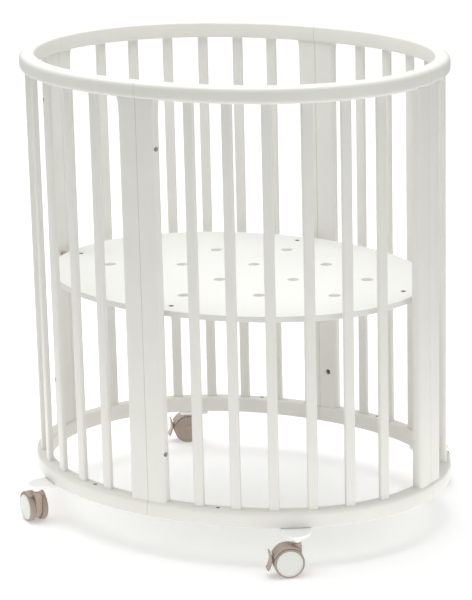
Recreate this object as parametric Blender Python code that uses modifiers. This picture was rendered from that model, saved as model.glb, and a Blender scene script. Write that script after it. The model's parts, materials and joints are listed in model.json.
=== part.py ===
"""Oval baby crib: four bolted quarter sections, a mattress board and swivel casters.

X runs along the crib, the front is at -Y and the floor is at Z = 0.
"""
import math

import bmesh
import bpy
from mathutils import Matrix, Vector

# Plan of the crib: one rounded oval, as the outer face of both rails.
HALF_LENGTH = 0.410
HALF_WIDTH = 0.3244
OVAL_POWER = 2.1
ARC_STEPS = 16
ARC_SAMPLES = 2000

# Rails, posts and slats. A side name reads as seen from the front.
RAIL_WIDTH = 0.028
RAIL_HEIGHT = 0.030
RAIL_ROUNDING = 0.0035
RAIL_END_SHARE = 0.3
BOTTOM_RAIL_Z = 0.0767
TOP_RAIL_Z = 0.8407
POST_WIDTH = 0.038
POST_THICKNESS = 0.020
POST_INSET = 0.004
POST_EDGE = 0.0012
SLAT_WIDTH = 0.019
SLAT_THICKNESS = 0.010
SLAT_ROUNDING = 0.003
SLATS_PER_QUARTER = 6
FIRST_SLAT = 0.099
SLAT_PITCH = 0.0688
MORTISE_DEPTH = 0.011
CLEARANCE = 0.0003
# How far one shape reaches into the next, so that the two join.
OVERLAP = 0.002

# Mattress board, on four bolts that pass through the posts.
BOARD_TOP = 0.4555
BOARD_THICKNESS = 0.011
BOARD_HALF_LENGTH = 0.371
BOARD_HALF_WIDTH = 0.284
BOARD_POWER = 2.05
BOARD_EDGE = 0.001
VENT_RADIUS = 0.011
VENT_PITCH_X = 0.122
VENT_PITCH_Y = 0.061
VENT_CELLS = [(0, 1), (0, 3), (1, 0), (1, 2), (2, 1)]
SPACER_RADIUS = 0.0045
SPACER_SINK = 0.010

# Casters. Each one trails along its own +X before it is turned into place.
CASTER_X = 0.2825
CASTER_Y = 0.2744
CASTER_OUT = Vector((0.54, 0.842, 0)).normalized()
PLATE_HALF_WIDTH = 0.028
PLATE_INNER = -0.054
PLATE_NOSE = 0.042
PLATE_OUTER = 0.016
PLATE_THICKNESS = 0.006
PLATE_EDGE = 0.0012
COLLAR_RADIUS = 0.0083
COLLAR_HEIGHT = 0.008
STEM_RADIUS = 0.004
BORE_RADIUS = 0.0041
COLLAR_GAP = 0.0015
WHEEL_RADIUS = 0.0275
WHEEL_THICKNESS = 0.011
WHEEL_SPACING = 0.014
TREAD_ROUNDING = 0.0022
TRAIL = 0.016
WEB_RADIUS = 0.023
NECK_HEIGHT = 0.0053
NECK_SINK = 0.0005
HOOD_INNER = 0.0283
HOOD_OUTER = 0.0302
HOOD_HALF_WIDTH = 0.017
HOOD_START = 25
HOOD_END = 125
HOOD_LEAD = 5
WEB_THICKNESS = 0.013
AXLE_RADIUS = 0.003
AXLE_HALF = 0.0142
AXLE_BORE_RADIUS = 0.00305
AXLE_END_PLAY = 0.0005
LEVER_PIVOT = Vector((0.0225, 0.0085))
LEVER_HUB_RADIUS = 0.0045
LEVER_ARM = 0.0060
ARM_REACH = 0.0085
ARM_HALF_HEIGHT = 0.0035
SLOT_LENGTH = 0.018
SLOT_HEIGHT = 0.011
SLOT_OFFSET = 0.0035
SLOT_PLAY = 0.0005
LEVER_WIDTH = 0.024
LEVER_THICKNESS = 0.0032
LEVER_CURVE = [(0.0314, 0.021), (0.0302, 0.012), (0.030, 0.003), (0.0312, -0.005), (0.0355, -0.0135)]
PIN_RADIUS = 0.0015
PIN_BORE_RADIUS = 0.00155
PIN_HALF = 0.0045

QUARTERS = {
    "front_right": (1, -1),
    "front_left": (-1, -1),
    "back_left": (-1, 1),
    "back_right": (1, 1),
}
# Where each caster trails, in degrees from +X, which side its hub cap is, and its brake.
CASTERS = {
    "front_right": (-139, 1, True),
    "front_left": (149, 1, False),
    "back_left": (-139, -1, True),
    "back_right": (118, -1, False),
}

WHITE = (0.90, 0.90, 0.87)
BOARD_WHITE = (0.93, 0.93, 0.91)
PLASTIC_WHITE = (0.86, 0.86, 0.84)
TAN = (0.52, 0.42, 0.34)
PAINT_ROUGHNESS = 0.4
BOARD_ROUGHNESS = 0.5
PLASTIC_ROUGHNESS = 0.35
TAN_ROUGHNESS = 0.45

# Sides of the round pieces.
WHEEL_STEPS = 28
ROUND_STEPS = 20
PIN_STEPS = 16
VENT_STEPS = 14
SPACER_STEPS = 12


def clear_scene():
    for item in list(bpy.data.objects):
        bpy.data.objects.remove(item, do_unlink=True)


def new_collection(name):
    group = bpy.data.collections.new(name)
    bpy.context.scene.collection.children.link(group)
    return group


def paint(item, color, roughness):
    """Give a piece a Principled material of its own."""
    material = bpy.data.materials.new(item.name)
    material.use_nodes = True
    shader = material.node_tree.nodes["Principled BSDF"]
    shader.inputs["Base Color"].default_value = (*color, 1)
    shader.inputs["Roughness"].default_value = roughness
    material.diffuse_color = (*color, 1)
    item.data.materials.clear()
    item.data.materials.append(material)


def as_object(shape, name, group):
    """Turn a bmesh into an object of the given collection."""
    bmesh.ops.recalc_face_normals(shape, faces=shape.faces)
    mesh = bpy.data.meshes.new(name)
    shape.to_mesh(mesh)
    shape.free()
    item = bpy.data.objects.new(name, mesh)
    group.objects.link(item)
    return item


def box(name, size, centre, group):
    shape = bmesh.new()
    place = Matrix.Translation(centre) @ Matrix.Diagonal((*size, 1))
    bmesh.ops.create_cube(shape, size=1, matrix=place)
    return as_object(shape, name, group)


def cylinder(name, radius, start, end, steps, group):
    """A closed cylinder between two points."""
    shape = bmesh.new()
    start = Vector(start)
    along = Vector(end) - start
    turn = along.to_track_quat("Z", "Y").to_matrix().to_4x4()
    place = Matrix.Translation(start + along / 2) @ turn
    bmesh.ops.create_cone(
        shape, cap_ends=True, segments=steps, radius1=radius, radius2=radius,
        depth=along.length, matrix=place)
    return as_object(shape, name, group)


def prism(name, outline, low, high, group):
    """A flat outline in X and Y, drawn up from one height to another."""
    shape = bmesh.new()
    corners = [shape.verts.new((x, y, low)) for x, y in outline]
    base = shape.faces.new(corners)
    grown = bmesh.ops.extrude_face_region(shape, geom=[base])["geom"]
    top = [part for part in grown if isinstance(part, bmesh.types.BMVert)]
    bmesh.ops.translate(shape, verts=top, vec=(0, 0, high - low))
    return as_object(shape, name, group)


def move(item, matrix):
    """Put a shape's mesh in place, and leave its object unturned."""
    item.data.transform(matrix)
    if matrix.determinant() < 0:
        item.data.flip_normals()


def round_edges(item, radius, steps=2):
    """Round every corner edge by one radius."""
    bevel = item.modifiers.new("Rounding", "BEVEL")
    bevel.width = radius
    bevel.segments = steps
    bevel.limit_method = "ANGLE"
    bevel.angle_limit = math.radians(40)
    bevel.miter_outer = "MITER_SHARP"


def round_long_edges(item, radius, end_share, steps=2):
    """Round the edges that run along a rail, and only break those round its two ends."""
    mesh = item.data
    weights = mesh.attributes.new("bevel_weight_edge", "FLOAT", "EDGE")
    for edge in mesh.edges:
        a, b = (mesh.vertices[index].co for index in edge.vertices)
        at_end = min(abs(a.x), abs(a.y)) < CLEARANCE and min(abs(b.x), abs(b.y)) < CLEARANCE
        level = abs(a.z - b.z) < CLEARANCE
        weights.data[edge.index].value = end_share if at_end else float(level)
    bevel = item.modifiers.new("Rounding", "BEVEL")
    bevel.width = radius
    bevel.segments = steps
    bevel.limit_method = "WEIGHT"
    bevel.miter_outer = "MITER_SHARP"


def combine(item, tools, operation="DIFFERENCE"):
    for tool in tools:
        boolean = item.modifiers.new(tool.name, "BOOLEAN")
        boolean.operation = operation
        boolean.solver = "EXACT"
        boolean.object = tool


def smooth(item, angle=35):
    """Shade a round piece smooth, with its corners kept sharp."""
    item.data.shade_smooth()
    item.data.set_sharp_from_angle(angle=math.radians(angle))


def oval_point(angle, inset, half_length=HALF_LENGTH, half_width=HALF_WIDTH, power=OVAL_POWER):
    """A point of the oval and its outward normal, moved inwards by the inset."""
    cosine = max(math.cos(angle), 0)
    sine = max(math.sin(angle), 0)
    x = half_length * cosine ** (2 / power)
    y = half_width * sine ** (2 / power)
    normal = Vector(((x / half_length) ** (power - 1) / half_length,
                     (y / half_width) ** (power - 1) / half_width)).normalized()
    return Vector((x, y)) - normal * inset, normal


def arc_stations(inset, distances):
    """Points and normals at the given distances from the end at X = 0."""
    angles = [math.pi / 2 * (1 - step / ARC_SAMPLES) for step in range(ARC_SAMPLES + 1)]
    points = [oval_point(angle, inset)[0] for angle in angles]
    found = []
    travelled = 0.0
    wanted = list(distances)
    for index in range(ARC_SAMPLES):
        step = (points[index + 1] - points[index]).length
        while wanted and wanted[0] <= travelled + step:
            share = (wanted.pop(0) - travelled) / step
            angle = angles[index] + (angles[index + 1] - angles[index]) * share
            found.append(oval_point(angle, inset))
        travelled += step
    return found


def rail_outline(sign):
    """One quarter of the rail ring, with square ends just short of its neighbours."""
    angles = [math.pi / 2 * step / ARC_STEPS for step in range(ARC_STEPS + 1)]
    outer = [oval_point(angle, 0)[0] for angle in angles]
    inner = [oval_point(angle, RAIL_WIDTH)[0] for angle in reversed(angles)]
    ring = outer + inner
    half_gap = CLEARANCE / 2
    return [(sign[0] * max(x, half_gap), sign[1] * max(y, half_gap)) for x, y in ring]


def slat_places(sign):
    """Centre and turn of each slat of a quarter, front or back post first."""
    distances = [FIRST_SLAT + SLAT_PITCH * index for index in range(SLATS_PER_QUARTER)]
    places = []
    for point, normal in arc_stations(RAIL_WIDTH / 2, distances):
        turn = math.atan2(normal.y * sign[1], normal.x * sign[0])
        centre = Vector((point.x * sign[0], point.y * sign[1], 0))
        places.append(Matrix.Translation(centre) @ Matrix.Rotation(turn, 4, "Z"))
    return places


def make_rail(name, low, sign, socket_z, group, cutters):
    """A quarter rail with a mortise for each slat."""
    rail = prism(name, rail_outline(sign), low, low + RAIL_HEIGHT, group)
    round_long_edges(rail, RAIL_ROUNDING, RAIL_END_SHARE)
    pockets = bmesh.new()
    size = (SLAT_THICKNESS + 2 * CLEARANCE, SLAT_WIDTH + 2 * CLEARANCE, 2 * MORTISE_DEPTH)
    for place in slat_places(sign):
        pocket = place @ Matrix.Translation((0, 0, socket_z)) @ Matrix.Diagonal((*size, 1))
        bmesh.ops.create_cube(pockets, size=1, matrix=pocket)
    combine(rail, [as_object(pockets, name + "_mortises", cutters)])
    smooth(rail)
    paint(rail, WHITE, PAINT_ROUGHNESS)


def make_slat(name, place, group):
    low = BOTTOM_RAIL_Z + RAIL_HEIGHT - MORTISE_DEPTH + CLEARANCE
    high = TOP_RAIL_Z + MORTISE_DEPTH - CLEARANCE
    slat = box(name, (SLAT_THICKNESS, SLAT_WIDTH, high - low), (0, 0, (low + high) / 2), group)
    shape = bmesh.new()
    shape.from_mesh(slat.data)
    upright = [edge for edge in shape.edges
               if abs(edge.verts[0].co.z - edge.verts[1].co.z) > high / 2]
    bmesh.ops.bevel(shape, geom=upright, offset=SLAT_ROUNDING, segments=2, profile=0.5, affect="EDGES")
    shape.to_mesh(slat.data)
    shape.free()
    move(slat, place)
    smooth(slat)
    paint(slat, WHITE, PAINT_ROUGHNESS)


def make_post(name, low_corner, high_corner, group):
    """One plank of a double post, between the two rails."""
    low = BOTTOM_RAIL_Z + RAIL_HEIGHT + CLEARANCE
    high = TOP_RAIL_Z - CLEARANCE
    size = Vector((high_corner[0] - low_corner[0], high_corner[1] - low_corner[1], high - low))
    middle = [(a + b) / 2 for a, b in zip(low_corner, high_corner)]
    post = box(name, size, (*middle, (low + high) / 2), group)
    round_edges(post, POST_EDGE, steps=1)
    paint(post, WHITE, PAINT_ROUGHNESS)


def make_posts(sign, side, end, group):
    """The two planks of one quarter: half of a front or back post and half of a side post."""
    half_gap = CLEARANCE / 2
    near = HALF_WIDTH - POST_INSET - POST_THICKNESS
    far = HALF_WIDTH - POST_INSET
    x_span = sorted((sign[0] * half_gap, sign[0] * POST_WIDTH))
    y_span = sorted((sign[1] * near, sign[1] * far))
    make_post("post_%s_%s" % (side, end), (x_span[0], y_span[0]), (x_span[1], y_span[1]), group)
    near = HALF_LENGTH - POST_INSET - POST_THICKNESS
    far = HALF_LENGTH - POST_INSET
    x_span = sorted((sign[0] * near, sign[0] * far))
    y_span = sorted((sign[1] * half_gap, sign[1] * POST_WIDTH))
    make_post("post_%s_%s" % (end, side), (x_span[0], y_span[0]), (x_span[1], y_span[1]), group)


def make_board(group, cutters):
    """The mattress board with its air holes, and a spacer towards one plank of each post."""
    steps = 4 * ARC_STEPS
    outline = []
    for index in range(steps):
        angle = 2 * math.pi * index / steps
        power = 2 / BOARD_POWER
        x = BOARD_HALF_LENGTH * math.copysign(abs(math.cos(angle)) ** power, math.cos(angle))
        y = BOARD_HALF_WIDTH * math.copysign(abs(math.sin(angle)) ** power, math.sin(angle))
        outline.append((x, y))
    low = BOARD_TOP - BOARD_THICKNESS
    board = prism("mattress_board", outline, low, BOARD_TOP, group)
    round_edges(board, BOARD_EDGE, steps=1)
    drills = bmesh.new()
    for column, row in VENT_CELLS:
        for side_x in {1, -1} if column else {1}:
            for side_y in {1, -1} if row else {1}:
                centre = (side_x * column * VENT_PITCH_X, side_y * row * VENT_PITCH_Y, BOARD_TOP)
                bmesh.ops.create_cone(
                    drills, cap_ends=True, segments=VENT_STEPS, radius1=VENT_RADIUS, radius2=VENT_RADIUS,
                    depth=4 * BOARD_THICKNESS, matrix=Matrix.Translation(centre))
    spacers = bmesh.new()
    reach_y = HALF_WIDTH - POST_INSET - POST_THICKNESS - CLEARANCE
    reach_x = HALF_LENGTH - POST_INSET - POST_THICKNESS - CLEARANCE
    middle = low + BOARD_THICKNESS / 2
    half = POST_WIDTH / 2
    start_y = BOARD_HALF_WIDTH - SPACER_SINK
    start_x = BOARD_HALF_LENGTH - SPACER_SINK
    lines = [((half, -start_y), (half, -reach_y)), ((-half, start_y), (-half, reach_y)),
             ((start_x, half), (reach_x, half)), ((-start_x, -half), (-reach_x, -half))]
    for start, end in lines:
        rod = cylinder("rod", SPACER_RADIUS, (*start, middle), (*end, middle), SPACER_STEPS, cutters)
        spacers.from_mesh(rod.data)
        bpy.data.objects.remove(rod, do_unlink=True)
    combine(board, [as_object(spacers, "board_spacers", cutters)], "UNION")
    combine(board, [as_object(drills, "board_drills", cutters)])
    smooth(board)
    paint(board, BOARD_WHITE, BOARD_ROUGHNESS)


def make_bracket(name, place, group, cutters):
    """A plate under the rail, rounded outside, with a collar for the caster's stem."""
    bow = 10
    outline = [(-PLATE_HALF_WIDTH, PLATE_INNER), (PLATE_HALF_WIDTH, PLATE_INNER)]
    for index in range(bow + 1):
        angle = math.pi * index / bow
        reach = PLATE_NOSE * math.sin(angle)
        outline.append((PLATE_HALF_WIDTH * math.cos(angle), PLATE_OUTER - PLATE_NOSE + reach))
    top = BOTTOM_RAIL_Z - CLEARANCE
    low = top - PLATE_THICKNESS
    plate = prism(name, outline, low, top, group)
    round_edges(plate, PLATE_EDGE, steps=1)
    collar = cylinder(name + "_collar", COLLAR_RADIUS, (0, 0, low - COLLAR_HEIGHT),
                      (0, 0, low + PLATE_THICKNESS / 2), ROUND_STEPS, cutters)
    bore = cylinder(name + "_bore", BORE_RADIUS, (0, 0, low - 2 * COLLAR_HEIGHT),
                    (0, 0, low + PLATE_THICKNESS / 2), ROUND_STEPS, cutters)
    for item in (plate, collar, bore):
        move(item, place)
    combine(plate, [collar], "UNION")
    combine(plate, [bore])
    smooth(plate)
    paint(plate, PLASTIC_WHITE, PLASTIC_ROUGHNESS)


def upright(item):
    """Stand a flat X-Y shape up, so that its Y runs up and its Z runs across."""
    move(item, Matrix.Rotation(math.pi / 2, 4, "X"))


def arc(radius, start, end, steps):
    """Points on a circle round the axle, between two angles in degrees from the trailing side."""
    angles = [math.radians(start + (end - start) * step / steps) for step in range(steps + 1)]
    return [(radius * math.cos(angle), radius * math.sin(angle)) for angle in angles]


def web_outline(shoulder):
    """The wheel carrier from the side: a disc round the axle, wider under the hood, and a neck."""
    half_web = WEB_THICKNESS / 2
    under_hood = (HOOD_INNER + HOOD_OUTER) / 2
    neck_start = 90 + math.degrees(math.asin((TRAIL - COLLAR_RADIUS) / under_hood))
    points = arc(WEB_RADIUS, math.degrees(math.asin(half_web / WEB_RADIUS)) - 180, HOOD_START - HOOD_LEAD, 14)
    points += arc(under_hood, HOOD_START, neck_start, 7)
    points += [(COLLAR_RADIUS - TRAIL, shoulder), (-COLLAR_RADIUS - TRAIL, shoulder)]
    points += [(-COLLAR_RADIUS - TRAIL, -half_web)]
    return points


def make_housing(name, place, with_brake, group, cutters):
    """The swivelling fork: web between the wheels, neck, stem, axle and brake pin."""
    top = BOTTOM_RAIL_Z - CLEARANCE - PLATE_THICKNESS - COLLAR_HEIGHT - COLLAR_GAP - WHEEL_RADIUS
    shoulder = top - NECK_HEIGHT
    half = WEB_THICKNESS / 2
    web = prism(name, web_outline(shoulder), -half, half, group)
    ring = arc(HOOD_OUTER, HOOD_START, HOOD_END, 10) + arc(HOOD_INNER, HOOD_END, HOOD_START, 10)
    hood = prism(name + "_hood", ring, -HOOD_HALF_WIDTH, HOOD_HALF_WIDTH, cutters)
    upright(hood)
    neck = cylinder(name + "_neck", COLLAR_RADIUS, (-TRAIL, 0, shoulder - NECK_SINK),
                    (-TRAIL, 0, top), ROUND_STEPS, cutters)
    stem_top = BOTTOM_RAIL_Z - CLEARANCE - PLATE_THICKNESS - WHEEL_RADIUS + OVERLAP
    stem = cylinder(name + "_stem", STEM_RADIUS, (-TRAIL, 0, top - OVERLAP),
                    (-TRAIL, 0, stem_top), ROUND_STEPS, cutters)
    axle = cylinder(name + "_axle", AXLE_RADIUS, (0, -AXLE_HALF, 0), (0, AXLE_HALF, 0),
                    ROUND_STEPS, cutters)
    tools = [hood, neck, stem, axle]
    upright(web)
    combine(web, tools, "UNION")
    if with_brake:
        pivot = (LEVER_PIVOT.x, 0, LEVER_PIVOT.y)
        slot = box(name + "_slot", (SLOT_LENGTH, LEVER_ARM + 2 * SLOT_PLAY, SLOT_HEIGHT),
                   (LEVER_PIVOT.x + SLOT_OFFSET, 0, LEVER_PIVOT.y), cutters)
        pin = cylinder(name + "_pin", PIN_RADIUS, (pivot[0], -PIN_HALF, pivot[2]),
                       (pivot[0], PIN_HALF, pivot[2]), PIN_STEPS, cutters)
        ears = cylinder(name + "_ears", LEVER_HUB_RADIUS, (pivot[0], -half, pivot[2]),
                        (pivot[0], half, pivot[2]), PIN_STEPS, cutters)
        combine(web, [ears], "UNION")
        combine(web, [slot])
        combine(web, [pin], "UNION")
        tools += [slot, pin, ears]
    for item in [web] + tools:
        move(item, place)
    smooth(web)
    paint(web, TAN, TAN_ROUGHNESS)
    set_origin(web, place @ Vector((-TRAIL, 0, 0)))


def make_wheel(name, place, side, group, cutters):
    """A wheel with a rounded tread and a blind bore that faces the web."""
    inner = side * WHEEL_SPACING / 2
    outer = side * (WHEEL_SPACING / 2 + WHEEL_THICKNESS)
    wheel = cylinder(name, WHEEL_RADIUS, (0, inner, 0), (0, outer, 0), WHEEL_STEPS, group)
    bore = cylinder(name + "_bore", AXLE_BORE_RADIUS, (0, inner - side * OVERLAP, 0),
                    (0, side * (AXLE_HALF + AXLE_END_PLAY), 0), ROUND_STEPS, cutters)
    round_edges(wheel, TREAD_ROUNDING)
    combine(wheel, [bore])
    for item in (wheel, bore):
        move(item, place)
    smooth(wheel)
    paint(wheel, TAN, TAN_ROUGHNESS)
    set_origin(wheel, place.translation)


def make_lever(name, place, group, cutters):
    """The brake lever: a hub on the pin, an arm between the wheels and a flared tab."""
    outer = [(x + LEVER_THICKNESS, z) for x, z in reversed(LEVER_CURVE)]
    tab = prism(name, LEVER_CURVE + outer, -LEVER_WIDTH / 2, LEVER_WIDTH / 2, group)
    half = LEVER_ARM / 2
    px, pz = LEVER_PIVOT
    arm_outline = [(px, pz - ARM_HALF_HEIGHT), (px + ARM_REACH, pz - ARM_HALF_HEIGHT),
                   (px + ARM_REACH, pz + ARM_HALF_HEIGHT), (px, pz + ARM_HALF_HEIGHT)]
    arm = prism(name + "_arm", arm_outline, -half, half, cutters)
    upright(tab)
    upright(arm)
    hub = cylinder(name + "_hub", LEVER_HUB_RADIUS, (px, -half, pz), (px, half, pz), PIN_STEPS, cutters)
    bore = cylinder(name + "_bore", PIN_BORE_RADIUS, (px, -LEVER_ARM, pz), (px, LEVER_ARM, pz),
                    PIN_STEPS, cutters)
    combine(tab, [arm, hub], "UNION")
    combine(tab, [bore])
    for item in (tab, arm, hub, bore):
        move(item, place)
    smooth(tab)
    paint(tab, TAN, TAN_ROUGHNESS)
    set_origin(tab, place @ Vector((px, 0, pz)))


def set_origin(item, point):
    """Move an object's origin to its joint without moving its mesh."""
    item.data.transform(Matrix.Translation(-Vector(point)))
    item.location = point


def make_caster(key, sign, group, cutters):
    swivel = Vector((sign[0] * CASTER_X, sign[1] * CASTER_Y, 0))
    outward = math.atan2(CASTER_OUT.y * sign[1], CASTER_OUT.x * sign[0]) - math.pi / 2
    plate_place = Matrix.Translation(swivel) @ Matrix.Rotation(outward, 4, "Z")
    make_bracket("caster_bracket_" + key, plate_place, group, cutters)
    heading, cap_side, with_brake = CASTERS[key]
    place = (Matrix.Translation(swivel) @ Matrix.Rotation(math.radians(heading), 4, "Z")
             @ Matrix.Translation((TRAIL, 0, WHEEL_RADIUS)))
    make_housing("caster_housing_" + key, place, with_brake, group, cutters)
    make_wheel("wheel_capped_" + key, place, cap_side, group, cutters)
    make_wheel("wheel_plain_" + key, place, -cap_side, group, cutters)
    if with_brake:
        make_lever("caster_brake_" + key, place, group, cutters)


def main():
    clear_scene()
    group = new_collection("baby_crib")
    cutters = new_collection("cutters")
    for key, sign in QUARTERS.items():
        side, end = key.split("_")
        make_rail("top_rail_" + key, TOP_RAIL_Z, sign, TOP_RAIL_Z, group, cutters)
        upper_face = BOTTOM_RAIL_Z + RAIL_HEIGHT
        make_rail("bottom_rail_" + key, BOTTOM_RAIL_Z, sign, upper_face, group, cutters)
        make_posts(sign, side, end, group)
        for index, place in enumerate(slat_places(sign)):
            make_slat("slat_%s_%d" % (key, index + 1), place, group)
        make_caster(key, sign, group, cutters)
    make_board(group, cutters)
    for tool in cutters.objects:
        tool.hide_render = True
        tool.display_type = "WIRE"


main()
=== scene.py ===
"""Looks of the oval baby crib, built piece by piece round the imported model."""

import json
import math

import bmesh
import bpy
import numpy as np
from mathutils import Matrix, Vector


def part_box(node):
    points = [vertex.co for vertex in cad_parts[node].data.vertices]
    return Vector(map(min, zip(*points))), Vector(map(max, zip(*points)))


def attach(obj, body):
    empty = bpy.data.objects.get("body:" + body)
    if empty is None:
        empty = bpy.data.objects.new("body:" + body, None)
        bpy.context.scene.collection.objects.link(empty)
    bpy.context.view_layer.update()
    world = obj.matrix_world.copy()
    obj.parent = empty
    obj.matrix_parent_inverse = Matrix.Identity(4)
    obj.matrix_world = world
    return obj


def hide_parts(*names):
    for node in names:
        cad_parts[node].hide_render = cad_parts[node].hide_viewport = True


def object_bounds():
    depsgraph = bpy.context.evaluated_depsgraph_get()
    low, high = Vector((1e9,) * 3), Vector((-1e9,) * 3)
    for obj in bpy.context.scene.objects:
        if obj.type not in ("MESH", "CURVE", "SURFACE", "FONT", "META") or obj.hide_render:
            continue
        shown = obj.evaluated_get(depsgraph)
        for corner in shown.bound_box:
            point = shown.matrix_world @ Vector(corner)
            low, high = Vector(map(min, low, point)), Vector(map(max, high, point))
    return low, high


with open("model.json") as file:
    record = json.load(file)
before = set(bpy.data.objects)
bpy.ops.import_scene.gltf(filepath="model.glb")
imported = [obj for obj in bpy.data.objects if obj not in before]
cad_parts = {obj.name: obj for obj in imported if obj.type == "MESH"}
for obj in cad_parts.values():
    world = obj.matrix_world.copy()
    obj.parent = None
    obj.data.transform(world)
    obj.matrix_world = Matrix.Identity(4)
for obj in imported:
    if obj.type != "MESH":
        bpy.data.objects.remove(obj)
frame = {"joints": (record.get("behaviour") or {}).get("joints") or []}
cad_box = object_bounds()


# ---------------------------------------------------------------- camera
# A long lens from the front right and a little above, tipped slightly on its axis.
camera_place = Vector((2.5212, -4.0299, 1.7247))
camera_aim = Vector((-0.0027, -0.0017, 0.4005))
camera_roll = -0.0240

camera = bpy.data.objects.new("camera", bpy.data.cameras.new("camera"))
bpy.context.scene.collection.objects.link(camera)
look = (camera_aim - camera_place).to_track_quat("-Z", "Y").to_matrix().to_4x4()
camera.matrix_world = Matrix.Translation(camera_place) @ look @ Matrix.Rotation(camera_roll, 4, "Z")
camera.data.sensor_width = 36
camera.data.lens = 158.29
camera.data.clip_end = 60
bpy.context.scene.camera = camera


# ---------------------------------------------------------------- rails
# Top and bottom rings of solid wood, each in four quarters cut to the same oval,
# with rounded long edges and a satin white paint. The quarters butt at the posts.
rail_low, rail_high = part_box("top_rail_front_right")
floor_rail_low, floor_rail_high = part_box("bottom_rail_front_right")
half_length = cad_box[1].x + 0.0001
half_width = max(-rail_low.y, cad_box[1].y)
oval_power = 2.1
quarter_rows = 97
rail_width = 0.028
rail_height = rail_high.z - rail_low.z
top_rail_radii = (0.0095, 0.0040, 0.0040, 0.0085)
floor_rail_radii = (0.0085, 0.0050, 0.0030, 0.0022)
rail_end_break = 0.0006
rail_end_gap = 0.00015
rail_end_slope = 0.0007
edge_angle = math.radians(35)
paint_white = (0.805, 0.797, 0.752)
quarters = {
    "front_right": (1, -1),
    "front_left": (-1, -1),
    "back_left": (-1, 1),
    "back_right": (1, 1),
}


def grid_piece(name, grid, ring=False):
    """A mesh from a grid of points, rows x columns x 3.

    Each quad joins two neighbouring rows and columns, and the last column joins the first.
    The first and last row are closed by a flat face, or joined to each other in a ring.
    The UV map holds the distance along the rows and the distance round the columns, in metres.
    """
    rows, columns = grid.shape[:2]
    index = np.arange(rows * columns).reshape(rows, columns)
    if ring:
        index = np.vstack([index, index[:1]])
    beside = np.roll(index, -1, axis=1)
    quads = np.stack([index[:-1], beside[:-1], beside[1:], index[1:]], axis=-1).reshape(-1, 4)
    faces = quads.tolist()
    if not ring:
        faces += [index[0].tolist()[::-1], index[-1].tolist()]
    mesh = bpy.data.meshes.new(name)
    mesh.from_pydata(grid.reshape(-1, 3).tolist(), [], faces)
    step = np.linalg.norm(np.diff(grid, axis=0), axis=2).mean(axis=1)
    along = np.concatenate([[0], np.cumsum(step)])
    if ring:
        along = np.append(along, 2 * along[-1] - along[-2])
    around = np.linalg.norm(np.roll(grid, -1, axis=1) - grid, axis=2).mean(axis=0)
    around = np.concatenate([[0], np.cumsum(around)])
    row, column = np.meshgrid(np.arange(len(index) - 1), np.arange(columns), indexing="ij")
    corners_u = np.stack([along[row], along[row], along[row + 1], along[row + 1]], axis=-1)
    corners_v = np.stack([around[column], around[column + 1],
                          around[column + 1], around[column]], axis=-1)
    uv = np.stack([corners_u.ravel(), corners_v.ravel()], axis=-1)
    if not ring:
        low_cap = np.stack([np.full(columns, along[0]), around[:-1][::-1]], axis=-1)
        high_cap = np.stack([np.full(columns, along[-1]), around[:-1]], axis=-1)
        uv = np.vstack([uv, low_cap, high_cap])
    layer = mesh.uv_layers.new(name="UVMap")
    layer.data.foreach_set("uv", uv.ravel())
    clean = bmesh.new()
    clean.from_mesh(mesh)
    bmesh.ops.recalc_face_normals(clean, faces=clean.faces)
    clean.to_mesh(mesh)
    clean.free()
    mesh.shade_smooth()
    mesh.set_sharp_from_angle(angle=edge_angle)
    piece = bpy.data.objects.new(name, mesh)
    bpy.context.scene.collection.objects.link(piece)
    return piece


def rounded_section(half_across, half_up, radii, steps=5):
    """A rectangle round the origin with a quarter circle of its own radius at each corner.

    Sizes may be single numbers or one per row, and the result has a row for each.
    The corners come in order: outer top, inner top, inner bottom, outer bottom.
    """
    turn = np.linspace(0, math.pi / 2, steps + 1)
    half_across, half_up = np.atleast_1d(half_across), np.atleast_1d(half_up)
    sides = []
    for number, (side, rise) in enumerate([(1, 1), (-1, 1), (-1, -1), (1, -1)]):
        radius = np.atleast_1d(radii[number])[:, None]
        swing = turn + number * math.pi / 2
        across = side * (half_across[:, None] - radius) + radius * np.cos(swing)
        up = rise * (half_up[:, None] - radius) + radius * np.sin(swing)
        sides.append(np.stack(np.broadcast_arrays(across, up), axis=-1))
    rows = max(len(side) for side in sides)
    return np.concatenate([np.broadcast_to(side, (rows,) + side.shape[1:]) for side in sides], axis=1)


def oval(angle, inset=0.0):
    """Points and outward normals of the curve |x/a|^n + |y/b|^n = 1, moved inwards."""
    cosine, sine = np.cos(angle), np.sin(angle)
    x = half_length * np.sign(cosine) * np.abs(cosine) ** (2 / oval_power)
    y = half_width * np.sign(sine) * np.abs(sine) ** (2 / oval_power)
    across = np.sign(x) * np.abs(x / half_length) ** (oval_power - 1) / half_length
    forward = np.sign(y) * np.abs(y / half_width) ** (oval_power - 1) / half_width
    length = np.hypot(across, forward)
    normal = np.stack([across / length, forward / length], axis=-1)
    return np.stack([x, y], axis=-1) - normal * np.asarray(inset)[..., None], normal


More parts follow.
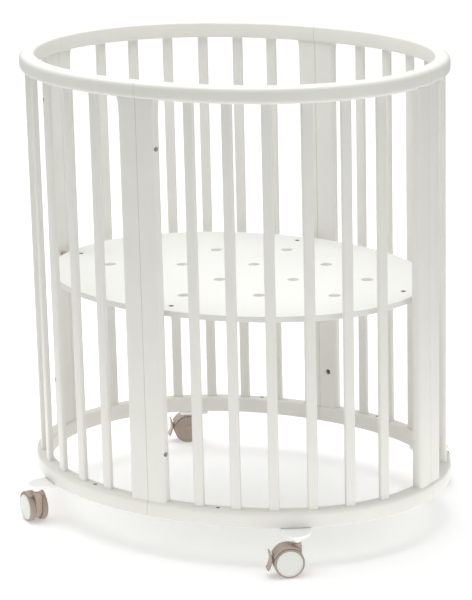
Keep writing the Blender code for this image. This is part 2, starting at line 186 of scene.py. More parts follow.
def paint_relief():
    """Paint over wood: long faint grain along U, a fine brush or roller peel, slow tone drift."""
    group = bpy.data.node_groups.new("paint_relief", "ShaderNodeTree")
    group.interface.new_socket("Coordinates", in_out="INPUT", socket_type="NodeSocketVector")
    group.interface.new_socket("Grain", in_out="INPUT", socket_type="NodeSocketFloat")
    group.interface.new_socket("Tone", in_out="OUTPUT", socket_type="NodeSocketFloat")
    group.interface.new_socket("Height", in_out="OUTPUT", socket_type="NodeSocketFloat")
    nodes, links = group.nodes, group.links
    start = nodes.new("NodeGroupInput")
    end = nodes.new("NodeGroupOutput")
    stretch = nodes.new("ShaderNodeMapping")
    stretch.inputs["Scale"].default_value = (9, 420, 420)
    links.new(start.outputs["Coordinates"], stretch.inputs["Vector"])
    grain = nodes.new("ShaderNodeTexNoise")
    grain.inputs["Scale"].default_value = 1
    grain.inputs["Detail"].default_value = 3
    links.new(stretch.outputs[0], grain.inputs["Vector"])
    peel = nodes.new("ShaderNodeTexNoise")
    peel.inputs["Scale"].default_value = 900
    peel.inputs["Detail"].default_value = 2
    links.new(start.outputs["Coordinates"], peel.inputs["Vector"])
    drift = nodes.new("ShaderNodeTexNoise")
    drift.inputs["Scale"].default_value = 14
    drift.inputs["Detail"].default_value = 2
    links.new(start.outputs["Coordinates"], drift.inputs["Vector"])
    weigh = nodes.new("ShaderNodeMath")
    weigh.operation = "MULTIPLY"
    links.new(grain.outputs["Fac"], weigh.inputs[0])
    links.new(start.outputs["Grain"], weigh.inputs[1])
    add = nodes.new("ShaderNodeMath")
    add.operation = "MULTIPLY_ADD"
    add.inputs[1].default_value = 0.35
    links.new(peel.outputs["Fac"], add.inputs[0])
    links.new(weigh.outputs[0], add.inputs[2])
    links.new(add.outputs[0], end.inputs["Height"])
    links.new(drift.outputs["Fac"], end.inputs["Tone"])
    return group


relief = paint_relief()


def painted(name, color, roughness, grain, depth, source="UV", tone=0.03):
    """A painted or moulded surface whose tone and height come from the relief group."""
    material = bpy.data.materials.new(name)
    material.use_nodes = True
    nodes, links = material.node_tree.nodes, material.node_tree.links
    shader = nodes["Principled BSDF"]
    shader.inputs["Roughness"].default_value = roughness
    shader.inputs["Specular IOR Level"].default_value = 0.4
    place = nodes.new("ShaderNodeTexCoord")
    surface = nodes.new("ShaderNodeGroup")
    surface.node_tree = relief
    surface.inputs["Grain"].default_value = grain
    links.new(place.outputs[source], surface.inputs["Coordinates"])
    shade = nodes.new("ShaderNodeMapRange")
    shade.inputs["From Min"].default_value = 0.3
    shade.inputs["From Max"].default_value = 0.7
    shade.inputs["To Min"].default_value = 1 - tone
    shade.inputs["To Max"].default_value = 1
    links.new(surface.outputs["Tone"], shade.inputs["Value"])
    mix = nodes.new("ShaderNodeMix")
    mix.data_type = "RGBA"
    mix.blend_type = "MULTIPLY"
    mix.inputs["Factor"].default_value = 1
    mix.inputs["A"].default_value = (*color, 1)
    links.new(shade.outputs["Result"], mix.inputs["B"])
    links.new(mix.outputs["Result"], shader.inputs["Base Color"])
    bump = nodes.new("ShaderNodeBump")
    bump.inputs["Distance"].default_value = depth
    bump.inputs["Strength"].default_value = 1
    links.new(surface.outputs["Height"], bump.inputs["Height"])
    links.new(bump.outputs["Normal"], shader.inputs["Normal"])
    return material


paint_finish = (0.38, 0.5, 0.00008)  # roughness, grain and relief depth
rail_paint = painted("white_paint_on_rails", paint_white, *paint_finish)
cut_edge_angle = math.radians(30)


def cut_out(piece, tools):
    """Take the tools' shapes out of a piece, mark its sharp edges again, and throw the tools away."""
    for tool in tools:
        cut = piece.modifiers.new(tool.name, "BOOLEAN")
        cut.solver = "EXACT"
        cut.object = tool
    bpy.context.view_layer.update()
    solid = piece.evaluated_get(bpy.context.evaluated_depsgraph_get())
    mesh = bpy.data.meshes.new_from_object(solid)
    piece.modifiers.clear()
    old = piece.data
    piece.data = mesh
    mesh.name = piece.name
    bpy.data.meshes.remove(old)
    mesh.set_sharp_from_angle(angle=cut_edge_angle)
    for tool in tools:
        bpy.data.objects.remove(tool)


def turned(name, profile, place, steps, ring=False):
    """A profile of (radius, height) points spun round the Z axis of its place."""
    profile = np.asarray(profile, float)
    spin = np.linspace(0, 2 * math.pi, steps, endpoint=False)
    x = profile[:, :1] * np.cos(spin)
    y = profile[:, :1] * np.sin(spin)
    z = np.broadcast_to(profile[:, 1:], x.shape)
    turn = np.array(place.to_3x3())
    grid = np.stack([x, y, z], axis=-1) @ turn.T + np.array(place.translation)
    return grid_piece(name, grid, ring)


def rail_grid(sign, low, radii):
    """The rounded section carried along a quarter oval, its edges broken at both ends."""
    angle = np.linspace(0, math.pi / 2, quarter_rows)
    centre, normal = oval(angle, rail_width / 2)
    along = np.stack([-normal[:, 1], normal[:, 0]], axis=-1)
    first, last = centre[:1], centre[-1:]
    centre = np.vstack([first + along[:1] * rail_end_gap, first + along[:1] * rail_end_slope,
                        centre[1:-1],
                        last - along[-1:] * rail_end_slope, last - along[-1:] * rail_end_gap])
    normal = np.vstack([normal[:1], normal, normal[-1:]])
    shrink = np.zeros(len(normal))
    shrink[[0, -1]] = rail_end_break
    section = rounded_section(rail_width / 2 - shrink, rail_height / 2 - shrink,
                              [radius - shrink / 2 for radius in radii])
    xy = centre[:, None] + normal[:, None] * section[..., :1]
    z = low + rail_height / 2 + section[..., 1:]
    grid = np.concatenate([xy, z], axis=-1)
    return grid * np.array([sign[0], sign[1], 1])


insert_radius = 0.0042
insert_x = 0.1360
insert_hole_depth = 0.009
insert_profile = [(0.0040, -0.0085), (0.0040, -0.0006), (0.0036, -0.0003),
                  (0.0028, -0.0007), (0.0025, -0.0085)]
insert_steel = painted("dark_steel_insert", (0.42, 0.41, 0.39), 0.4, 0.0, 0.00002, "Object")
insert_steel.node_tree.nodes["Principled BSDF"].inputs["Metallic"].default_value = 0.8

for key, sign in quarters.items():
    top_rail = grid_piece("rail_top_" + key, rail_grid(sign, rail_low.z, top_rail_radii))
    top_rail.data.materials.append(rail_paint)
    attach(top_rail, "frame")
    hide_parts("top_rail_" + key)
    floor_rail = grid_piece("rail_bottom_" + key, rail_grid(sign, floor_rail_low.z, floor_rail_radii))
    angle = math.acos((insert_x / half_length) ** (oval_power / 2))
    spot = oval(np.array([angle]), rail_width / 2)[0][0] * sign
    hole_place = Matrix.Translation((*spot, floor_rail_high.z))
    drill = turned("drill", [(insert_radius, -insert_hole_depth), (insert_radius, 0.004)], hole_place, 24)
    cut_out(floor_rail, [drill])
    floor_rail.data.materials.append(rail_paint)
    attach(floor_rail, "frame")
    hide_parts("bottom_rail_" + key)
    insert = turned("insert_" + key, insert_profile, hole_place, 24, ring=True)
    insert.data.materials.append(insert_steel)
    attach(insert, "frame")


# ---------------------------------------------------------------- slats
# Flat sticks of the same wood, glued into mortises in both rails. Their long edges
# are rounded from end to end, and the rounding eases off just where they enter a rail.
slat_width = 0.019
slat_thickness = 0.010
slat_rounding = 0.0030
slat_runout = 0.003
slat_sink = 0.0025
first_slat = 0.099
slat_pitch = 0.0688
slats_in_quarter = 6
least_rounding = 0.0004
slat_paint = painted("white_paint_on_slats", paint_white, *paint_finish)


def slat_centres(sign):
    """Slat centres at even steps along the rail's middle line, from the front or back post."""
    angle = np.linspace(math.pi / 2, 0, 4000)
    line, normal = oval(angle, rail_width / 2)
    gone = np.concatenate([[0], np.cumsum(np.linalg.norm(np.diff(line, axis=0), axis=1))])
    wanted = first_slat + slat_pitch * np.arange(slats_in_quarter)
    centre, facing = oval(np.interp(wanted, gone, angle), rail_width / 2)
    return centre * sign, facing * sign


def runout(height, low, high, stop, length, radius):
    """Rounding of a stopped edge: none near both ends, then a smooth rise to the full radius."""
    inward = np.minimum(height - low, high - height)
    share = np.clip((inward - stop) / length, 0, 1)
    return least_rounding + (radius - least_rounding) * np.sqrt(share * (2 - share))


slat_low = floor_rail_high.z - slat_sink
slat_high = rail_low.z + slat_sink
for key, sign in quarters.items():
    for number, (centre, facing) in enumerate(zip(*slat_centres(np.array(sign)))):
        name = "%s_%d" % (key, number + 1)
        ends = np.linspace(0, slat_runout + slat_sink, 12)
        height = np.concatenate([slat_low + ends, slat_high - ends[::-1]])
        radius = runout(height, slat_low, slat_high, slat_sink, slat_runout, slat_rounding)
        section = rounded_section(slat_thickness / 2, slat_width / 2, [radius] * 4)
        side = np.array([-facing[1], facing[0]])
        xy = centre + section[..., :1] * facing + section[..., 1:] * side
        z = np.broadcast_to(height[:, None, None], xy.shape[:2] + (1,))
        slat = grid_piece("stick_" + name, np.concatenate([xy, z], axis=-1))
        slat.data.materials.append(slat_paint)
        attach(slat, "frame")
        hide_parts("slat_" + name)


# ---------------------------------------------------------------- posts
# Each post is two planks side by side, one from each of two neighbouring quarters.
# Their free edges are rounded, and the rounding runs out just below the top rail.
post_rounding = 0.0075
post_joint_break = (0.0013, 0.0022)
post_stop = 0.003
post_runout = 0.034
post_sink = 0.0016
post_rows = 90
runout_rows = 36
post_paint = painted("white_paint_on_posts", paint_white, *paint_finish)
bolt_hole_radius = 0.0048
bolt_shift = 0.003
bolt_sunk = 0.0065
nut_hole_radius = 0.0052
nut_profile = [(0.0049, -0.0115), (0.0050, -0.0064), (0.0046, -0.0060), (0.0006, -0.0060)]
hole_depth = 0.012
socket_half_width = 0.0020
socket_points = 36
bolt_heights = (0.197, 0.7545)
nut_heights = (0.180,)
# Bolts and nuts are real steel parts, but they are coloured near black as painted shade, so the holes they
# sit in read dark.
bolt_steel_and_hole_shade = painted("steel_darkened_as_hole_shade", (0.16, 0.15, 0.14), 0.38, 0.0, 0.00002, "Object")
bolt_steel_and_hole_shade.node_tree.nodes["Principled BSDF"].inputs["Metallic"].default_value = 0.9


def hex_socket(name, place):
    """A bolt's round head seen end on, with a six-sided socket sunk in it.

    The socket reaches its half width over the cosine of the angle to the nearest flat.
    """
    spin = np.linspace(0, 2 * math.pi, socket_points, endpoint=False)
    six = socket_half_width / np.cos((spin + math.pi / 6) % (math.pi / 3) - math.pi / 6)
    rows = [(0.0040, -0.0045, 0), (0.0041, -0.0003, 0), (0.0038, 0.0, 0),
            (0.0, -0.0001, 1.05), (0.0, -0.0024, 1.0), (0.0, -0.0026, 0.6)]
    grid = []
    for radius, height, share in rows:
        reach = radius + six * share
        level = np.full(socket_points, height)
        grid.append(np.stack([reach * np.cos(spin), reach * np.sin(spin), level], axis=-1))
    grid = np.array(grid) @ np.array(place.to_3x3()).T + np.array(place.translation)
    return grid_piece(name, grid)


def facing_place(point, direction):
    """A place whose Z axis looks in the given direction."""
    return Matrix.Translation(point) @ Vector(direction).to_track_quat("Z", "Y").to_matrix().to_4x4()


post_low = floor_rail_high.z - post_sink
post_high = rail_low.z + post_sink
for key, sign in quarters.items():
    side, end = key.split("_")
    for node, across in (("post_%s_%s" % (side, end), 0), ("post_%s_%s" % (end, side), 1)):
        low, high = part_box(node)
        middle = (low + high) / 2
        half = (high - low) / 2
        wide, thick = (half.x, half.y) if across == 0 else (half.y, half.x)
        run = (post_stop + post_runout) * np.linspace(0, 1, runout_rows) ** 1.5
        plain = np.linspace(post_low, post_high - run[-1] - 0.008, post_rows)
        height = np.concatenate([plain, post_high - run[::-1]])
        free = runout(height, -1, post_high, post_stop, post_runout, post_rounding)
        joint = np.full(len(height), post_joint_break[across])
        section = rounded_section(wide, thick, [free, joint, joint, free])
        if across == 0:
            x = middle.x + sign[0] * section[..., 0]
            y = middle.y + sign[1] * section[..., 1]
        else:
            x = middle.x + sign[0] * section[..., 1]
            y = middle.y + sign[1] * section[..., 0]
        z = np.broadcast_to(height[:, None], x.shape)
        plank = grid_piece("plank_" + node[5:], np.stack([x, y, z], axis=-1))
        tools = []
        bolted = ("front_right", "back_left") if across == 0 else ("back_right", "front_left")
        takes_bolts = key in bolted
        for number in range(len(bolt_heights if takes_bolts else nut_heights)):
            if takes_bolts:
                point = Vector((middle.x, middle.y, bolt_heights[number]))
                out = Vector((sign[0], 0, 0)) if across == 0 else Vector((0, sign[1], 0))
                point += out * wide + Vector((0, sign[1], 0) if across == 0 else (sign[0], 0, 0)) * bolt_shift
            else:
                point = Vector((middle.x, middle.y, nut_heights[number]))
                out = Vector((0, -sign[1], 0)) if across == 0 else Vector((-sign[0], 0, 0))
                point += out * thick
            place = facing_place(point, out)
            radius = bolt_hole_radius if takes_bolts else nut_hole_radius
            drill_profile = [(radius, -hole_depth), (radius, 0.002)]
            tools.append(turned("drill_%d" % number, drill_profile, place, 28))
            if takes_bolts:
                fixing = hex_socket("bolt_%s_%d" % (node[5:], number + 1),
                                    place @ Matrix.Translation((0, 0, -bolt_sunk)))
            else:
                fixing = turned("barrel_nut_%s_%d" % (node[5:], number + 1), nut_profile, place, 28)
            fixing.data.materials.append(bolt_steel_and_hole_shade)
            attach(fixing, "frame")
        cut_out(plank, tools)
        plank.data.materials.append(post_paint)
        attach(plank, "frame")
        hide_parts(node)


# ---------------------------------------------------------------- mattress board
# A flat oval of white faced board with air holes, held at mid height by four bolts
# through the posts. Each bolt has a short spacer between the post and the board's edge.
board_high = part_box("mattress_board")[1]
board_half_length = 0.371
board_half_width = 0.284
board_power = 2.05
board_thickness = 0.011
board_edge = 0.0009
vent_radius = 0.011
vent_step = (0.122, 0.061)
vent_spread = 0.75
vent_flare = 0.0020
post_half = 0.019
nut_inset = 0.030
board_nut_profile = [(0.0048, -0.0085), (0.0048, -0.0009), (0.0044, -0.0005),
                     (0.0026, -0.0006), (0.0022, -0.0026), (0.0006, -0.0028)]
board_white = (0.82, 0.82, 0.79)
board_face = painted("white_board_face", board_white, 0.42, 0.0, 0.00004, "Object", 0.015)


def slab_grid(outline, low, high, edge, steps=4):
    """A closed outline drawn up between two heights, both rims rounded by the edge radius."""
    ahead = np.roll(outline, -1, axis=0) - np.roll(outline, 1, axis=0)
    normal = np.stack([ahead[:, 1], -ahead[:, 0]], axis=-1)
    normal /= np.linalg.norm(normal, axis=1)[:, None]
    turn = np.linspace(0, math.pi / 2, steps + 1)
    inset = edge * (1 - np.sin(turn))
    rise = edge * (1 - np.cos(turn))
    inset = np.concatenate([inset, inset[::-1]])
    height = np.concatenate([low + rise, high - rise[::-1]])
    xy = outline[None] - normal[None] * inset[:, None, None]
    z = np.broadcast_to(height[:, None, None], xy.shape[:2] + (1,))
    return np.concatenate([xy, z], axis=-1)


spin = np.linspace(0, 2 * math.pi, 192, endpoint=False)
power = 2 / board_power
cosine, sine = np.cos(spin), np.sin(spin)
board_outline = np.stack([board_half_length * np.sign(cosine) * np.abs(cosine) ** power,
                          board_half_width * np.sign(sine) * np.abs(sine) ** power], axis=-1)
board_bottom = board_high.z - board_thickness
board = grid_piece("board", slab_grid(board_outline, board_bottom, board_high.z, board_edge))
wide_vent = vent_radius + vent_flare
vent_profile = [(wide_vent, 0.0012), (vent_radius, -0.0008),
                (vent_radius, 0.0008 - board_thickness), (wide_vent, -0.0012 - board_thickness)]
vents = []
for column in range(-2, 3):
    for row in range(-3, 4):
        x, y = column * vent_step[0], row * vent_step[1]
        inside = math.hypot(x / board_half_length, y / board_half_width) < vent_spread
        if (column + row) % 2 and inside:
            place = Matrix.Translation((x, y, board_high.z))
            vents.append(turned("vent_%d" % len(vents), vent_profile, place, 36))
board_nuts = {
    "front": (post_half, nut_inset - board_half_width),
    "back": (-post_half, board_half_width - nut_inset),
    "right": (board_half_length - nut_inset, post_half),
    "left": (nut_inset - board_half_length, -post_half),
}
for name, (x, y) in board_nuts.items():
    place = Matrix.Translation((x, y, board_high.z))
    vents.append(turned("nut_hole_" + name, [(0.0051, -0.009), (0.0051, 0.002)], place, 28))
    nut = turned("board_nut_" + name, board_nut_profile, place, 28)
    nut.data.materials.append(bolt_steel_and_hole_shade)
    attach(nut, "frame")
cut_out(board, vents)
board.data.materials.append(board_face)
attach(board, "frame")
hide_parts("mattress_board")

spacer_tan = painted("tan_spacer_plastic", (0.50, 0.38, 0.31), 0.5, 0.0, 0.00003, "Object")
front_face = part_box("post_front_right")[1].y
right_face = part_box("post_right_back")[0].x
board_middle = board_high.z - board_thickness / 2
spacers = {
    "front": ((post_half, front_face, board_middle), (0, 1, 0), -front_face - board_half_width),
    "back": ((-post_half, -front_face, board_middle), (0, -1, 0), -front_face - board_half_width),
    "right": ((right_face, post_half, board_middle), (-1, 0, 0), right_face - board_half_length),
    "left": ((-right_face, -post_half, board_middle), (1, 0, 0), right_face - board_half_length),
}
for name, (point, direction, reach) in spacers.items():
    place = facing_place(point, direction)
    profile = [(0.0042, 0.0002), (0.0046, 0.0008), (0.0046, reach), (0.0038, reach + 0.002)]
    spacer = turned("board_spacer_" + name, profile, place, 28)
    spacer.data.materials.append(spacer_tan)
    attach(spacer, "frame")


# ---------------------------------------------------------------- casters
# One twin-wheel caster under each quarter. A white moulded bracket is screwed up into
# the rail, and the tan wheel carrier swivels on a stem that turns in its collar.
joints = {joint["name"]: joint for joint in frame["joints"]}
wheel_radius = 0.0275
wheel_thickness = 0.011
wheel_inner = 0.007
wheel_shoulder = 0.0022
trail = 0.016
plate_half = 0.028
plate_thickness = 0.006
plate_rounding = 0.0012
plate_corner = 0.004
screw_offset = 0.016
screw_profile = [(0.0040, -0.0004), (0.0040, 0.0006), (0.0034, 0.0016), (0.0020, 0.0021), (0.0006, 0.0015)]
bracket_white = painted("white_bracket_plastic", (0.96, 0.96, 0.945), 0.32, 0.0, 0.00004, "Object")
tan_plastic = painted("tan_moulded_plastic", (0.47, 0.385, 0.325), 0.42, 0.0, 0.00005, "Object", 0.06)
tan_tread = painted("tan_soft_tread", (0.39, 0.325, 0.275), 0.55, 0.0, 0.00006, "Object", 0.06)
cap_white = painted("white_cap_plastic", (0.73, 0.735, 0.705), 0.3, 0.0, 0.00003, "Object", 0.02)
screw_steel = painted("zinc_screw", (0.55, 0.54, 0.51), 0.35, 0.0, 0.00002, "Object")
screw_steel.node_tree.nodes["Principled BSDF"].inputs["Metallic"].default_value = 0.9
stand_up = Matrix.Rotation(math.pi / 2, 4, "X")
tab_rows = 40
tab_half = 0.0016
tab_rounding = 0.0012
hub_radius = 0.0045
arm_half = 0.003
slot_half = 0.0035


def placed(grid, place):
    """A grid of points turned and moved into its place."""
    return grid @ np.array(place.to_3x3()).T + np.array(place.translation)


def wheel_profile(with_cap):
    """Tread with rounded shoulders, then the outer side: a seat for the cap, or a plain dished face."""
    turn = np.linspace(0, math.pi / 2, 6)
    inner = [(wheel_radius - wheel_shoulder + wheel_shoulder * math.sin(a),
              wheel_inner + wheel_shoulder - wheel_shoulder * math.cos(a))
             for a in turn]
    outer = [(r, 2 * wheel_inner + wheel_thickness - h) for r, h in reversed(inner)]
    side = wheel_inner + wheel_thickness
    if with_cap:
        face = [(0.0242, side), (0.0239, side - 0.001), (0.0010, side - 0.001)]
    else:
        face = [(0.0240, side), (0.0232, side - 0.0008), (0.0090, side - 0.0008),
                (0.0082, side), (0.0010, side)]
    return [(0.0033, wheel_inner)] + inner + outer + face


dome_radius = 0.0205


def cap_profile():
    """A shallow dome with a turned-down rim and a fine groove near its edge."""
    side = wheel_inner + wheel_thickness
    radius = np.linspace(dome_radius, 0.0010, 12)
    dome = [(r, side + 0.0004 + 0.0009 * (1 - (r / dome_radius) ** 2)) for r in radius]
    rim = [(0.0237, side - 0.0009), (0.0238, side - 0.0002), (0.0234, side + 0.0005),
           (0.0222, side + 0.0007), (0.0212, side + 0.0001)]
    return rim + dome


web_radius = 0.023
hood_inner = 0.0283
hood_outer = 0.0302
hood_span = (25, 125)
hood_rows = 48
hood_half_width = 0.017
hood_rounding = 0.0007
neck_radius = 0.0083
neck_top = 0.0285
web_half = 0.0065


def side_arc(radius, start, end, steps):
    """Points on a circle round the axle, between two angles in degrees from the trailing side."""
    angle = np.radians(np.linspace(start, end, steps))
    return radius * np.stack([np.cos(angle), np.sin(angle)], axis=-1)


def web_outline():
    """Side view of the wheel carrier: a disc round the axle, wider under the hood, and a neck."""
    under_hood = (hood_inner + hood_outer) / 2
    neck_start = 90 + math.degrees(math.asin((trail - neck_radius) / under_hood))
    low = side_arc(web_radius, -163, hood_span[0] - 5, 48)
    high = side_arc(under_hood, hood_span[0], neck_start, 26)
    head = np.array([(neck_radius - trail, neck_top), (-neck_radius - trail, neck_top),
                     (-neck_radius - trail, -0.0065)])
    return np.vstack([low, high, head])


for key, sign in quarters.items():
    swivel = Vector(joints["swivel_" + key]["pos_m"])
    axle = Vector(joints["roll_capped_" + key]["pos_m"])
    heading = Vector((axle.x - swivel.x, axle.y - swivel.y, 0)).normalized()
    across = Vector((-heading.y, heading.x, 0))
    turn = Matrix((heading, across, Vector((0, 0, 1)))).transposed().to_4x4()
    place = Matrix.Translation(axle) @ turn
    capped_low, capped_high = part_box("wheel_capped_" + key)
    cap_side = 1 if ((capped_low + capped_high) / 2 - axle).dot(across) > 0 else -1

    bracket_low, bracket_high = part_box("caster_bracket_" + key)
    outward = Vector((0.54 * sign[0], 0.842 * sign[1], 0)).normalized()
    beside = Vector((outward.y, -outward.x, 0))
    stance = Matrix.Translation((swivel.x, swivel.y, 0)) @ Matrix(
        (beside, outward, Vector((0, 0, 1)))).transposed().to_4x4()
    bow = np.linspace(0, math.pi, 40)
    nose = np.stack([plate_half * np.cos(bow), 0.042 * np.sin(bow) - 0.026], axis=-1)
    corner = np.linspace(math.pi, 3 * math.pi / 2, 6)
    left = np.stack([-plate_half + plate_corner + plate_corner * np.cos(corner),
                     -0.050 + plate_corner * np.sin(corner)], axis=-1)
    right = (left * (-1, 1))[::-1]
    outline = np.vstack([nose, left, right])
    plate_low = bracket_high.z - plate_thickness
    plate = grid_piece("bracket_plate_" + key,
                       placed(slab_grid(outline, plate_low, bracket_high.z, plate_rounding), stance))
    plate.data.materials.append(bracket_white)
    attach(plate, "frame")
    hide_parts("caster_bracket_" + key)
    low = bracket_low.z
    collar_profile = [(0.0042, low + 0.0062), (0.0042, low), (0.0074, low), (0.0081, low + 0.0007),
                      (0.0083, low + 0.0062), (0.0093, plate_low + 0.0006), (0.0093, plate_low + 0.002)]
    collar = turned("bracket_collar_" + key, collar_profile, stance, 48)
    collar.data.materials.append(bracket_white)
    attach(collar, "frame")
    for number, offset in enumerate((-screw_offset, screw_offset)):
        spot = stance @ Matrix.Translation((offset, -0.040, plate_low)) @ Matrix.Rotation(math.pi, 4, "X")
        screw = turned("bracket_screw_%s_%d" % (key, number + 1), screw_profile, spot, 24)
        screw.data.materials.append(screw_steel)
        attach(screw, "frame")

    body = "caster_" + key
    web = grid_piece("carrier_web_" + key,
                     placed(slab_grid(web_outline(), -web_half, web_half, 0.0011), place @ stand_up))
    web.data.materials.append(tan_plastic)
    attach(web, body)
    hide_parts("caster_housing_" + key)
    stem_place = place @ Matrix.Translation((-trail, 0, 0))
    neck_profile = [(0.0083, 0.0281), (0.0083, 0.0326), (0.0077, 0.0334), (0.0046, 0.0334),
                    (0.0040, 0.0334), (0.0040, 0.0440), (0.0030, 0.0448)]
    neck = turned("carrier_neck_" + key, neck_profile, stem_place, 48)
    neck.data.materials.append(tan_plastic)
    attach(neck, body)
    span = np.radians(np.linspace(hood_span[0], hood_span[1], hood_rows))
    shell = rounded_section((hood_outer - hood_inner) / 2, hood_half_width,
                            [np.full(hood_rows, hood_rounding)] * 4)
    reach = (hood_outer + hood_inner) / 2 + shell[..., 0]
    shell = np.stack([reach * np.cos(span)[:, None], shell[..., 1], reach * np.sin(span)[:, None]], axis=-1)
    hood = grid_piece("carrier_hood_" + key, placed(shell, place))
    hood.data.materials.append(tan_plastic)
    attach(hood, body)
    pin = turned("axle_" + key, [(0.0030, -0.0142), (0.0030, 0.0142)], place @ stand_up, 28)
    pin.data.materials.append(screw_steel)
    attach(pin, body)

    for kind, side in (("capped", cap_side), ("plain", -cap_side)):
        out = place @ Matrix.Rotation(-side * math.pi / 2, 4, "X")
        wheel = turned("tread_%s_%s" % (kind, key), wheel_profile(kind == "capped"), out, 72)
        wheel.data.materials.append(tan_tread)
        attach(wheel, "wheel_%s_%s" % (kind, key))
        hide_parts("wheel_%s_%s" % (kind, key))
        if kind == "capped":
            cap = turned("hub_cap_" + key, cap_profile(), out, 72)
            cap.data.materials.append(cap_white)
            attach(cap, "wheel_capped_" + key)

    if "brake_lever_" + key in joints:
        pivot = Vector(joints["brake_lever_" + key]["pos_m"]) - axle
        pivot = Vector((pivot.dot(heading), pivot.z))
        share = np.linspace(0, 1, tab_rows)[:, None]
        bend = np.array([(0.0320, 0.0210), (0.0288, 0.0090), (0.0290, -0.0030), (0.0365, -0.0135)])
        curve = ((1 - share) ** 3 * bend[0] + 3 * (1 - share) ** 2 * share * bend[1]
                 + 3 * (1 - share) * share ** 2 * bend[2] + share ** 3 * bend[3])
        ahead = np.gradient(curve, axis=0)
        facing = np.stack([-ahead[:, 1], ahead[:, 0]], axis=-1)
        facing /= np.linalg.norm(facing, axis=1)[:, None]
        half_across = 0.0105 + 0.0015 * share[:, 0] ** 2
        section = rounded_section(tab_half, half_across, [np.full(tab_rows, tab_rounding)] * 4)
        xz = curve[:, None] + facing[:, None] * (section[..., :1] + tab_half)
        grid = np.stack([xz[..., 0], section[..., 1], xz[..., 1]], axis=-1)
        tab = grid_piece("brake_tab_" + key, placed(grid, place))
        tab.data.materials.append(tan_plastic)
        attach(tab, "brake_" + key)
        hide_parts("caster_brake_" + key)
        hinge = place @ Matrix.Translation((pivot.x, 0, pivot.y)) @ stand_up
        slot_outline = np.array([(-0.0055, -0.0055), (0.0125, -0.0055), (0.0125, 0.0055), (-0.0055, 0.0055)])
        slot_outline += np.array(pivot)
        slot = grid_piece("slot", placed(slab_grid(slot_outline, -slot_half, slot_half, 0.0002),
                                         place @ stand_up))
        cut_out(web, [slot])
        for number, (near, far) in enumerate(((-web_half, -0.0036), (0.0036, web_half))):
            ear_profile = [(0.0006, near), (hub_radius, near), (hub_radius, far), (0.0006, far)]
            ear = turned("carrier_ear_%s_%d" % (key, number + 1), ear_profile, hinge, 32)
            ear.data.materials.append(tan_plastic)
            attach(ear, body)
        arm_outline = np.array([(0, -0.0035), (0.0085, -0.0035), (0.0085, 0.0035), (0, 0.0035)])
        arm_outline += np.array(pivot)
        arm = grid_piece("brake_arm_" + key,
                         placed(slab_grid(arm_outline, -arm_half, arm_half, 0.0005), place @ stand_up))
        hub_profile = [(0.0016, -arm_half), (hub_radius, -arm_half),
                       (hub_radius, arm_half), (0.0016, arm_half)]
        hub = turned("brake_hub_" + key, hub_profile, hinge, 32, ring=True)
        for piece in (arm, hub):
            piece.data.materials.append(tan_plastic)
            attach(piece, "brake_" + key)


# ---------------------------------------------------------------- studio
# A pale floor that glows: to the camera it brightens away from the crib into a white ground, and unseen it
# glows warm round the crib to light it from below.
# One broad light overhead, weak ones from both sides, a small one over the far side and a white room.
floor_color = (0.88, 0.88, 0.88)
floor_glow = 0.6
floor_glow_near = 0.26
floor_bounce = 0.72
bounce_inner = (0.15, 0.55)
bounce_outer = (0.8, 1.5)
clear_radius = (0.42, 1.9)
bounce_tint = (1.0, 0.975, 0.935, 1)
room_color = (0.99, 1.0, 1.005, 1)
room_strength = 0.50
side = np.linspace(-9, 9, 2)
mesh = bpy.data.meshes.new("floor")
mesh.from_pydata([(x, y, 0) for y in side for x in side], [], [(0, 1, 3, 2)])
floor = bpy.data.objects.new("floor", mesh)
bpy.context.scene.collection.objects.link(floor)
floor_paint = painted("pale_floor", floor_color, 0.8, 0.0, 0.0002, "Object", 0.0)
nodes, links = floor_paint.node_tree.nodes, floor_paint.node_tree.links
place = nodes.new("ShaderNodeTexCoord")
distance = nodes.new("ShaderNodeVectorMath")
distance.operation = "LENGTH"
links.new(place.outputs["Object"], distance.inputs[0])
# Painted light on the floor: a glow seen only by the camera. It is low near the crib, where it lifts the
# shadows, and full further out.
glow = nodes.new("ShaderNodeMapRange")
glow.interpolation_type = "SMOOTHSTEP"
glow.inputs["From Min"].default_value, glow.inputs["From Max"].default_value = clear_radius
glow.inputs["To Min"].default_value = floor_glow_near
glow.inputs["To Max"].default_value = floor_glow
links.new(distance.outputs["Value"], glow.inputs["Value"])
shader = nodes["Principled BSDF"]
# Painted bounce light: for every other ray the floor glows warm in a ring round the crib, which brightens the
# crib's lower faces from below.
rise, fall = (nodes.new("ShaderNodeMapRange") for _ in range(2))
bounce_steps = ((rise, bounce_inner, (0.0, floor_bounce)), (fall, bounce_outer, (1.0, 0.0)))
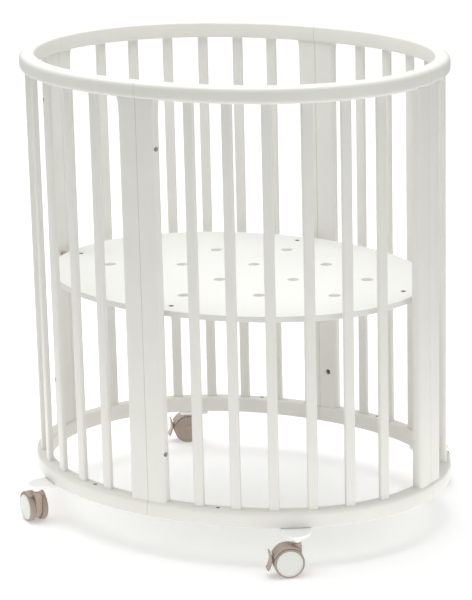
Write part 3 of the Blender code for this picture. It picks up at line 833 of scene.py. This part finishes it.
for step, radius, levels in bounce_steps:
    step.interpolation_type = "SMOOTHSTEP"
    step.inputs["From Min"].default_value, step.inputs["From Max"].default_value = radius
    step.inputs["To Min"].default_value, step.inputs["To Max"].default_value = levels
    links.new(distance.outputs["Value"], step.inputs["Value"])
bounce = nodes.new("ShaderNodeMath")
bounce.operation = "MULTIPLY"
links.new(rise.outputs["Result"], bounce.inputs[0])
links.new(fall.outputs["Result"], bounce.inputs[1])
ray = nodes.new("ShaderNodeLightPath")
seen = nodes.new("ShaderNodeMix")
links.new(ray.outputs["Is Camera Ray"], seen.inputs["Factor"])
links.new(bounce.outputs[0], seen.inputs["A"])
links.new(glow.outputs["Result"], seen.inputs["B"])
links.new(seen.outputs["Result"], shader.inputs["Emission Strength"])
tint = nodes.new("ShaderNodeMix")
tint.data_type = "RGBA"
tint.inputs["A"].default_value = bounce_tint
tint.inputs["B"].default_value = (1, 1, 1, 1)
links.new(ray.outputs["Is Camera Ray"], tint.inputs["Factor"])
links.new(tint.outputs["Result"], shader.inputs["Emission Color"])
floor.data.materials.append(floor_paint)

world = bpy.data.worlds.new("studio")
world.use_nodes = True
world.node_tree.nodes["Background"].inputs["Color"].default_value = room_color
world.node_tree.nodes["Background"].inputs["Strength"].default_value = room_strength
bpy.context.scene.world = world
bpy.context.scene.view_settings.view_transform = "Standard"


def area_light(name, place, aim, size, power):
    """A soft rectangular lamp at a place, turned towards its aim."""
    lamp = bpy.data.lights.new(name, "AREA")
    lamp.shape = "RECTANGLE"
    lamp.size, lamp.size_y = size
    lamp.energy = power
    item = bpy.data.objects.new(name, lamp)
    bpy.context.scene.collection.objects.link(item)
    place, aim = Vector(place), Vector(aim)
    facing = (aim - place).to_track_quat("-Z", "Y").to_matrix().to_4x4()
    item.matrix_world = Matrix.Translation(place) @ facing


area_light("overhead", (-0.5, 0.3, 3.0), (0, 0, 0.3), (3.2, 3.2), 66)
area_light("right_fill", (3.4, -1.6, 0.7), (0.2, -0.1, 0.25), (2.4, 1.0), 14)
area_light("left_fill", (-3.4, -1.2, 1.2), (-0.2, 0, 0.5), (2.4, 1.4), 7)
area_light("back_wash", (0.15, -0.25, 2.0), (0, 0.35, 0.75), (0.9, 0.5), 3.6)
